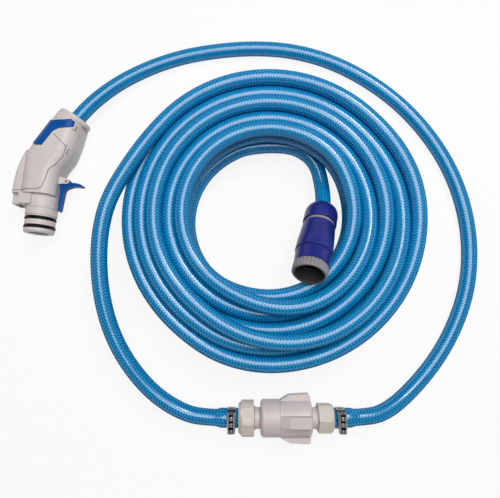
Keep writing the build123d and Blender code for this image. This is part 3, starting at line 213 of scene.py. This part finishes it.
def rolledSteel(s):
    # strip rolled along its length: fine streaks in gloss and tone, slow clouding,
    # and the worm's slots on a clamp band
    finish, tree, shader = blankFinish(s["name"])
    where = add(tree, "TexCoord").outputs["Object"]
    squeezed = add(tree, "Mapping", {"Vector": where, "Scale": s["streak"]}).outputs[0]
    streaks = add(tree, "TexNoise", {"Vector": squeezed, "Scale": s["streakScale"],
                                     "Detail": 5.0}).outputs[0]
    clouds = add(tree, "TexNoise", {"Vector": where, "Scale": s["cloudScale"], "Detail": 3.0}).outputs[0]
    tones = blendTones(tree, spread(tree, streaks, *noiseSpan, 0, 1), tone(*s["shade"]), tone(*s["colour"]))
    cloudy = spread(tree, clouds, *s["cloudSpan"], 0, s["cloudShare"])
    tones = blendTones(tree, cloudy, tones, tone(*s["dull"]))
    rough = spread(tree, streaks, *s["roughSpan"], *s["rough"])
    height = streaks
    if "slotAt" in s:
        # slots: cos(slots * angle round the hose) is high, and the place along the hose is near the
        # band's middle
        reach = add(tree, "VectorMath", {0: where, 1: s["slotAt"]}, operation="SUBTRACT").outputs[0]
        place = add(tree, "SeparateXYZ", {0: reach})
        angle = calc(tree, "ARCTAN2", place.outputs[2], place.outputs[1])
        wave = calc(tree, "COSINE", calc(tree, "MULTIPLY", angle, s["slots"]))
        aside = calc(tree, "ABSOLUTE", place.outputs[0])
        inRow = spread(tree, aside, s["slotHalf"], s["slotHalf"] * s["slotBlur"], 1, 0)
        slot = calc(tree, "MULTIPLY", spread(tree, wave, *s["slotSpan"], 0, 1), inRow)
        tones = blendTones(tree, slot, tones, tone(*s["slotTone"]))
        height = calc(tree, "SUBTRACT", calc(tree, "MULTIPLY", streaks, s["streakHeight"]), slot)
    tree.links.new(tones, shader.inputs["Base Color"])
    tree.links.new(rough, shader.inputs["Roughness"])
    rounded = add(tree, "Bevel", {"Radius": s["edge"]}, samples=6).outputs[0]
    bump = add(tree, "Bump", {"Strength": s["bump"], "Distance": s["depth"],
                              "Height": height, "Normal": rounded})
    tree.links.new(bump.outputs[0], shader.inputs["Normal"])
    shader.inputs["Metallic"].default_value = 1.0
    return finish


steelLook = {
    "name": "steel",
    "colour": (176, 174, 174),
    "shade": (140, 138, 139),
    "dull": (112, 109, 108),
    "streak": (1.0, 0.12, 0.12),
    "streakScale": 2600,
    "cloudScale": 140,
    "cloudSpan": (0.45, 0.75),
    "cloudShare": 0.5,
    "rough": (0.22, 0.4),
    "roughSpan": (0.25, 0.75),
    "edge": 0.0002,
    "bump": 0.15,
    "depth": 0.00005,
}
bandLook = {
    **steelLook,
    "colour": (188, 185, 184),
    "shade": (150, 147, 147),
    "dull": (122, 119, 118),
    "slots": 20,                # round the band
    "slotHalf": 0.0019,
    "slotBlur": 1.25,           # a slot's end fades out at this many halves
    "slotSpan": (0.1, 0.4),     # values of the cosine between which a slot's side falls
    "slotTone": (34, 32, 32),
    "streakHeight": 0.1,        # streaks beside the slots' depth of 1
    "bump": 0.6,
    "depth": 0.0003,
}
bandLooks = {
    "clamp_band_inlet": {**bandLook, "name": "inletBandSteel", "slotAt": (-0.03505, -0.189, 0.022)},
    "clamp_band_outlet": {**bandLook, "name": "outletBandSteel", "slotAt": (0.06545, -0.189, 0.022)},
}


hoseLook = {
    "name": "hose_blue",
    "bed": (0, 92, 156),         # blue between the dashes
    "yarn": (14, 164, 214),      # pale dashes of the braid
    "columns": 16,               # columns of dashes round the hose
    "lead": 0.0029,              # metres along from dash to dash
    "slant": 0.8,                # how far a dash leans across its column, in leads
    "rough": (0.5, 0.4),
    "gloss": 0.03,
    "braidDepth": 0.0002,
    "braidStrength": 0.3,
    "uv": "hoseMap",
    "dashSpan": (0.17, 0.33),    # a dash's side falls between these shares of a lead
    "borderSpan": (0.02, 0.2),   # and its ends between these shares of a column
    "borderTone": 0.25,
    "driftScale": 60.0,
    "driftSpan": (0.4, 0.8),
    "driftShare": 0.25,
    "skin": {"Coat Roughness": 0.21, "Coat IOR": 1.62},     # clear layer over the braid
    "skinFade": (0.25, 0.6),     # gloss goes between these towards the hose's rim
}


def braidedHose(s):
    # herringbone braid: in column n of u * columns, dashes where fract(v / lead + slant * x) is in the
    # middle half, with x running across the column to the right in even columns and to the left in odd ones
    finish, tree, shader = blankFinish(s["name"])
    place = add(tree, "SeparateXYZ", {0: add(tree, "UVMap", uv_map=s["uv"]).outputs[0]})
    across = calc(tree, "MULTIPLY", place.outputs[0], s["columns"])
    lean = calc(tree, "PINGPONG", across, 1.0)
    leads = calc(tree, "DIVIDE", place.outputs[1], s["lead"])
    run = calc(tree, "ADD", leads, calc(tree, "MULTIPLY", lean, s["slant"]))
    dash = spread(tree, calc(tree, "PINGPONG", run, 0.5), *s["dashSpan"], 1, 0, smooth=True)
    border = calc(tree, "PINGPONG", across, 0.5)
    inside = spread(tree, border, *s["borderSpan"], s["borderTone"], 1, smooth=True)
    weave = calc(tree, "MULTIPLY", dash, inside)
    where = add(tree, "TexCoord").outputs["Object"]
    drift = add(tree, "TexNoise", {"Vector": where, "Scale": s["driftScale"], "Detail": 3.0}).outputs[0]
    braid = blendTones(tree, weave, tone(*s["bed"]), tone(*s["yarn"]))
    worn = spread(tree, drift, *s["driftSpan"], 0, s["driftShare"])
    tree.links.new(blendTones(tree, worn, braid, tone(*s["bed"])), shader.inputs["Base Color"])
    tree.links.new(spread(tree, weave, 0, 1, *s["rough"]), shader.inputs["Roughness"])
    bump = add(tree, "Bump", {"Strength": s["braidStrength"], "Distance": s["braidDepth"],
                              "Height": weave})
    tree.links.new(bump.outputs[0], shader.inputs["Normal"])
    shader.inputs["Specular IOR Level"].default_value = s["gloss"]
    edge = add(tree, "LayerWeight", {"Blend": 0.5}).outputs["Facing"]
    tree.links.new(spread(tree, edge, *s["skinFade"], 1, 0, smooth=True), shader.inputs["Coat Weight"])
    for socket, value in s["skin"].items():
        shader.inputs[socket].default_value = value
    return finish


def giveFinish(node, finish):
    nodes[node].data.materials.clear()
    nodes[node].data.materials.append(finish)


finishes = {s["name"]: mouldedFinish(s) for s in mouldedLooks}
finishes["steel"] = rolledSteel(steelLook)
finishes["hose_blue"] = braidedHose(hoseLook)
for part in frame["record"]["subparts"]:
    giveFinish(part["node"], finishes[part["material_slot"]])
for band, look in bandLooks.items():
    giveFinish(band, rolledSteel(look))
giveFinish("thread_ring", mouldedFinish(tapMouth))
print("finishes given to", len(nodes), "nodes")


springs = [
    {"node": "piston_spring", "joint": "piston_slide", "axis": (1, 0, 0),
     "seat": (0.0077, -0.189, 0.022), "keep": 0.938},
    {"node": "sleeve_spring", "joint": "sleeve_slide", "axis": tapMouth["bore"]["axis"],
     "seat": (0.0469, -0.01252, 0.0428), "keep": 0.84},
]
for spring in springs:
    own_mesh(nodes[spring["node"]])


def gridSurface(name, rows, run, finish):
    # rows[i, j] are points of a surface, round in j; cell (i, j) is one quad and both ends close on a pole;
    # u goes round by j and v is run[i]
    count, sides = rows.shape[:2]
    poles = np.stack([rows[0].mean(0), rows[-1].mean(0)])
    points = np.concatenate([rows.reshape(-1, 3), poles])
    i, j = np.meshgrid(np.arange(count - 1), np.arange(sides), indexing="ij")
    k = (j + 1) % sides
    quads = np.stack([i * sides + j, i * sides + k, (i + 1) * sides + k, (i + 1) * sides + j], -1)
    ring = np.arange(sides)
    after = (ring + 1) % sides
    last = (count - 1) * sides
    first = np.stack([np.full(sides, count * sides), after, ring], -1)
    final = np.stack([np.full(sides, count * sides + 1), last + ring, last + after], -1)
    corners = np.concatenate([quads.ravel(), first.ravel(), final.ravel()])
    sizes = np.concatenate([np.full(i.size, 4), np.full(2 * sides, 3)])
    mesh = bpy.data.meshes.new(name)
    mesh.vertices.add(len(points))
    mesh.vertices.foreach_set("co", points.astype(np.float32).ravel())
    mesh.loops.add(len(corners))
    mesh.loops.foreach_set("vertex_index", corners.astype(np.int32))
    mesh.polygons.add(len(sizes))
    mesh.polygons.foreach_set("loop_start", (np.cumsum(sizes) - sizes).astype(np.int32))
    mesh.polygons.foreach_set("use_smooth", np.ones(len(sizes), bool))
    mesh.update(calc_edges=True)
    around = np.stack([j, j + 1, j + 1, j], -1) / sides
    along = np.stack([run[i], run[i], run[i + 1], run[i + 1]], -1)
    ends = np.zeros((6 * sides, 2))
    ends[3 * sides:, 1] = run[-1]
    flat = np.concatenate([np.stack([around, along], -1).reshape(-1, 2), ends])
    mesh.uv_layers.new(name=hoseLook["uv"]).data.foreach_set("uv", flat.astype(np.float32).ravel())
    mesh.validate()
    mesh.materials.append(finish)
    piece = bpy.data.objects.new(name, mesh)
    scene.collection.objects.link(piece)
    return piece


def smoothLine(name, corners, step):
    # points every step metres along the smooth spline that has the corners as its control points
    curve = bpy.data.curves.new(name, "CURVE")
    curve.dimensions = "3D"
    spline = curve.splines.new("NURBS")
    spline.points.add(len(corners) - 1)
    spline.points.foreach_set("co", np.c_[corners, np.ones(len(corners))].ravel())
    spline.order_u = 3
    spline.use_endpoint_u = True
    spline.resolution_u = 16
    holder = bpy.data.objects.new(name, curve)
    scene.collection.objects.link(holder)
    bpy.context.view_layer.update()
    traced = bpy.data.meshes.new_from_object(holder)
    line = np.empty(len(traced.vertices) * 3)
    traced.vertices.foreach_get("co", line)
    line = line.reshape(-1, 3)
    bpy.data.objects.remove(holder)
    bpy.data.curves.remove(curve)
    bpy.data.meshes.remove(traced)
    run = np.r_[0, np.cumsum(np.linalg.norm(np.diff(line, axis=0), axis=1))]
    even = np.linspace(0, run[-1], int(round(run[-1] / step)) + 1)
    return np.stack([np.interp(even, run, line[:, k]) for k in range(3)], 1), even


def hoseTube(name, corners, s, swollen):
    # point(along, around) = line(along) + radius(along) * (cos(around) * side + sin(around) * upper)
    line, run = smoothLine(name + "Line", np.array(corners), s["step"])
    total = run[-1]
    radius = np.full(len(run), s["radius"])
    for far, reach in ((run, swollen[0]), (total - run, swollen[1])):
        bulge = np.clip((reach + s["taper"] - far) / s["taper"], 0, 1) if reach else 0 * far
        radius += (s["stretched"] - s["radius"]) * bulge * bulge * (3 - 2 * bulge)
    ahead = np.gradient(line, axis=0)
    ahead /= np.linalg.norm(ahead, axis=1)[:, None]
    side = np.cross(ahead, (0, 0, 1))
    side /= np.linalg.norm(side, axis=1)[:, None]
    upper = np.cross(side, ahead)
    bore = int(s["boreDepth"] / s["step"])
    last = len(run) - 1
    order = np.r_[bore, 0, np.arange(len(run)), last, last - bore]     # in at one mouth, out at the other
    radii = radius[order]
    radii[[0, 1, -2, -1]] -= s["wall"]
    around = np.arange(s["sides"]) * 2 * np.pi / s["sides"]
    across = np.cos(around)[None, :, None] * side[order][:, None]
    upward = np.sin(around)[None, :, None] * upper[order][:, None]
    rows = line[order][:, None] + radii[:, None, None] * (across + upward)
    piece = gridSurface(name, rows, run[order], finishes["hose_blue"])
    return piece, line, total


hose = {
    "radius": 0.0075,
    "stretched": 0.00875,   # over a barb
    "taper": 0.005,
    "wall": 0.0025,
    "boreDepth": 0.032,
    "step": 0.004,
    "sides": 28,
}
feed = {
    "corners": [(-0.21551, 0.07926, 0.019), (-0.19443, 0.11325, 0.019), (-0.162, 0.1465, 0.0145),
                (-0.129, 0.169, 0.009), (-0.096, 0.1825, 0.0075), (-0.060, 0.190, 0.0075),
                (-0.018, 0.194, 0.0075), (0.026, 0.1915, 0.0075), (0.069, 0.179, 0.0075),
                (0.108, 0.1575, 0.0075), (0.142, 0.130, 0.0075), (0.1695, 0.097, 0.0075),
                (0.1905, 0.0595, 0.0075), (0.203, 0.0185, 0.0075), (0.2065, -0.024, 0.0075),
                (0.201, -0.066, 0.0075), (0.186, -0.1045, 0.0075), (0.164, -0.139, 0.008),
                (0.136, -0.167, 0.012), (0.112, -0.1833, 0.0183), (0.09145, -0.189, 0.022),
                (0.05945, -0.189, 0.022)],
    "exit": (-0.20076, 0.10306, 0.019),
    "swollen": (0.016, 0.016),      # lengths stretched over a barb, at each end
}
leadIn = {
    "corners": [(-0.02905, -0.189, 0.022), (-0.06105, -0.189, 0.022), (-0.083, -0.183, 0.023),
                (-0.109, -0.1655, 0.027), (-0.1315, -0.138, 0.033), (-0.146, -0.110, 0.0375),
                (-0.1545, -0.080, 0.042), (-0.158, -0.049, 0.046), (-0.157, -0.018, 0.0495),
                (-0.150, 0.013, 0.052), (-0.1305, 0.0475, 0.0535)],
    "exit": (-0.02905, -0.189, 0.022),
    "swollen": (0.016, 0),
}
leadOut = {
    "corners": [(0.0040, 0.0765, 0.02295), (0.0296, 0.0745, 0.0223), (0.0495, 0.0590, 0.0213),
                (0.0550, 0.0325, 0.0206), (0.0540, 0.0110, 0.0300), (0.0491, -0.0049, 0.0386)],
}
coil = {
    "columns": 5,
    "outer": 0.1330,        # middle of the outer column
    "flatPitch": 0.01297,   # columns nest into each other where the turns lie level
    "crossPitch": 0.01515,  # and lie side by side where they climb
    "innerShift": -0.003,
    "low": 0.0075,
    "rise": 0.01545,
    "pointsPerTurn": 24,
    "startAz": 145.0,
    "endAz": 105.0,
    "levelAz": 225.0,       # where a turn starts to lie level; half a turn on, it climbs
    "moveAfter": 0.55,      # share of a climb before a turn moves over to the next column
    "gainedBy": 0.6,        # share of a climb by which such a turn has its height
    "liftAfter": 0.25,
    "parting": 0.2,         # share of a climb in which the columns part, and in which they close again
    "peel": 0.005,          # how far the last loop leaves the coil inwards
    "over": 0.005,          # extra lift where a turn steps over to the next column
}


def ease(s):
    s = np.clip(s, 0, 1)
    return s * s * (3 - 2 * s)


def coilCorners(c):
    # clockwise turns: levelAz and on lies level for half a turn, then climbs to the next level;
    # columns go down, up, down, and the innermost one stops a level above the floor
    top = c["low"] + 3 * c["rise"]
    downs = [top, top - c["rise"], top - 2 * c["rise"], c["low"]]
    ups = [c["low"], top - 1.5 * c["rise"], top - 0.5 * c["rise"], top]
    legs = []
    for column in range(c["columns"]):
        levels = ups if column % 2 else downs
        for k in range(1 if column else 0, 3 if column == c["columns"] - 1 else 4):
            legs.append((column, column + (k == 3 and column < c["columns"] - 1), levels[k]))
    start, end, level = np.array(legs).T
    lastAz = c["endAz"] - 360 * (len(legs) - 1)
    az = np.append(np.arange(c["startAz"], lastAz, -360 / c["pointsPerTurn"]), lastAz)
    leg = np.floor((c["levelAz"] - az) / 360).astype(int)
    turned = (c["levelAz"] - 360 * leg - az) / 180
    after = np.minimum(leg + 1, len(legs) - 1)
    q = turned - 1
    climbing = q > 0
    nearTop = top - 1e-4
    # stepsOver: the next leg starts in the next column; wasOver: this one did
    stepsOver = (start[after] != end[after]) & (level[after] > nearTop)
    wasOver = (start[leg] != end[leg]) & (level[leg] > nearTop)
    shift = np.where(climbing, 1, np.where(wasOver, 1, ease(turned)))
    column = start[leg] + (end - start)[leg] * shift
    moved = ease((q - c["moveAfter"]) / (1 - c["moveAfter"]))
    column = column + np.where(climbing & stepsOver, moved, 0)
    gain = np.where(stepsOver, ease(q / c["gainedBy"]), ease(q))
    rising = np.clip((q - c["liftAfter"]) / (1 - c["liftAfter"]), 0, 1)
    lift = np.where(stepsOver, c["over"] * np.sin(np.pi * rising), 0)
    height = level[leg] + np.where(climbing, (level[after] - level[leg]) * gain + lift, 0)
    crossing = np.where(climbing, ease(q / c["parting"]) * ease((1 - q) / c["parting"]), 0)
    pitch = c["flatPitch"] + (c["crossPitch"] - c["flatPitch"]) * crossing
    inner = c["outer"] - (c["columns"] - 1) * c["flatPitch"] + c["innerShift"] * crossing
    radius = inner + (c["columns"] - 1 - column) * pitch
    leaving = (leg == len(legs) - 1) * ease((c["levelAz"] - 360 * leg - az) / (c["levelAz"] - c["endAz"]))
    radius = radius - c["peel"] * leaving
    radius /= 0.75 + 0.25 * np.cos(2 * np.pi / c["pointsPerTurn"])      # the spline runs inside its corners
    a = np.radians(az)
    return np.stack([radius * np.cos(a), radius * np.sin(a), height], 1)


feedHose, feedLine, feedLength = hoseTube("feedHose", feed["corners"], hose, feed["swollen"])
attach(feedHose, "hose_set")
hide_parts("hose_feed")
print("feed hose", round(feedLength, 3), "m")

mainCorners = np.concatenate([leadIn["corners"], coilCorners(coil), leadOut["corners"]])
coilHose, coilLine, coilLength = hoseTube("coilHose", mainCorners, hose, leadIn["swollen"])
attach(coilHose, "hose_set")
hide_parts("hose_lead_in", "hose_coil", "hose_lead_out")
print("coil hose", round(coilLength, 3), "m from", len(mainCorners), "control points")


stageLook = {
    "half": 3.0,
    "drop": 0.0002,
    "white": 0.8,
    "rough": 0.9,
    "glow": 0.88,           # share of the seen colour that is its own glow
    "wallHeight": 1.2,
    "wallSides": 48,
    "ambient": 0.12,
}


def paleFinish(s):
    # white whose seen colour is mostly its own glow, so that it stays white and keeps a soft shadow
    finish, tree, shader = blankFinish("paleStage")
    shader.inputs["Base Color"].default_value = (s["white"], s["white"], s["white"], 1)
    shader.inputs["Roughness"].default_value = s["rough"]
    shader.inputs["Specular IOR Level"].default_value = 0.0
    glow = add(tree, "Emission", {"Color": (1, 1, 1, 1), "Strength": 1.0})
    path = add(tree, "LightPath")
    seen = calc(tree, "MAXIMUM", path.outputs["Is Camera Ray"],
                calc(tree, "MAXIMUM", path.outputs["Is Glossy Ray"], path.outputs["Is Transmission Ray"]))
    share = calc(tree, "MULTIPLY", seen, s["glow"])
    mixed = add(tree, "MixShader", {0: share, 1: shader.outputs[0], 2: glow.outputs[0]})
    tree.links.new(mixed.outputs[0], tree.nodes["Material Output"].inputs[0])
    return finish


def paleStage(s):
    # round floor, and a low wall round its rim: rim(a) = half * (cos a, sin a)
    a = np.arange(s["wallSides"]) * 2 * np.pi / s["wallSides"]
    rim = s["half"] * np.stack([np.cos(a), np.sin(a)], 1)
    feet = np.c_[rim, np.full(len(a), -s["drop"])]
    points = np.concatenate([feet, feet + (0, 0, s["wallHeight"])])
    k = np.arange(len(a))
    after = (k + 1) % len(a)
    walls = np.stack([k, k + len(a), after + len(a), after], 1)
    finish = paleFinish(s)
    for name, faces in (("floor", [k.tolist()]), ("backdrop", walls.tolist())):
        mesh = bpy.data.meshes.new(name)
        mesh.from_pydata(points.tolist(), [], faces)
        mesh.materials.append(finish)
        piece = bpy.data.objects.new(name, mesh)
        scene.collection.objects.link(piece)


def dimWorld(strength):
    world = bpy.data.worlds.new("dimWorld")
    scene.world = world
    world.use_nodes = True
    back = world.node_tree.nodes["Background"]
    back.inputs["Color"].default_value = (1, 1, 1, 1)
    back.inputs["Strength"].default_value = strength


lamps = [
    {"name": "softLamp", "place": (0.05, 0.10, 1.0), "toward": (-0.02, 0, 0.02), "size": 0.7, "power": 7.8},
    {"name": "sideLamp", "place": (0.35, 0.55, 1.1), "toward": (0, 0, 0.02), "size": 0.2, "power": 4.0},
]


def areaLamp(s):
    data = bpy.data.lights.new(s["name"], "AREA")
    data.shape = "SQUARE"
    data.size = s["size"]
    data.energy = s["power"]
    lamp = bpy.data.objects.new(s["name"], data)
    lamp.location = s["place"]
    lamp.rotation_euler = (Vector(s["toward"]) - Vector(s["place"])).to_track_quat("-Z", "Y").to_euler()
    scene.collection.objects.link(lamp)


paleStage(stageLook)
dimWorld(stageLook["ambient"])
for lamp in lamps:
    areaLamp(lamp)
print("floor and lamps set")
